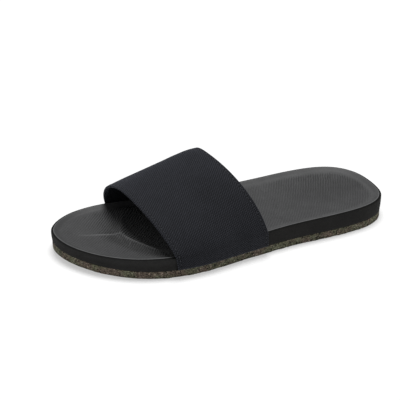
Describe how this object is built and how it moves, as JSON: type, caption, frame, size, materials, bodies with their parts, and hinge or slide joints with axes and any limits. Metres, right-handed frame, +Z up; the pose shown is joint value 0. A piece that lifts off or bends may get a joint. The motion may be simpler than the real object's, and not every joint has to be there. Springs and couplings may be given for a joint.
{
  "type": "sport slide sandal",
  "caption": "Left slide sandal: broad woven strap arched over a moulded footbed, dark foam midsole and a ribbed, speckled crumb rubber outsole.",
  "frame": {"origin": "middle of the sandal's box on the floor, under the front of the arch", "axes": "+Y from the heel to the toe, +X to the medial side, which is the wearer's right, +Z up"},
  "size_m": [0.116, 0.2846, 0.0692],
  "materials": {
    "crumb_rubber": "matt speckled crumb rubber, olive, brown and grey",
    "foam_black": "matt black moulded foam, smooth skin",
    "foam_grey": "matt dark grey moulded foam with fine texture",
    "woven_navy": "ribbed woven textile, navy black, with a soft sheen"
  },
  "bodies": {
    "root": {"outsole": "crumb_rubber", "midsole": "foam_black", "footbed": "foam_grey", "strap": "woven_navy"}
  },
  "joints": []
}
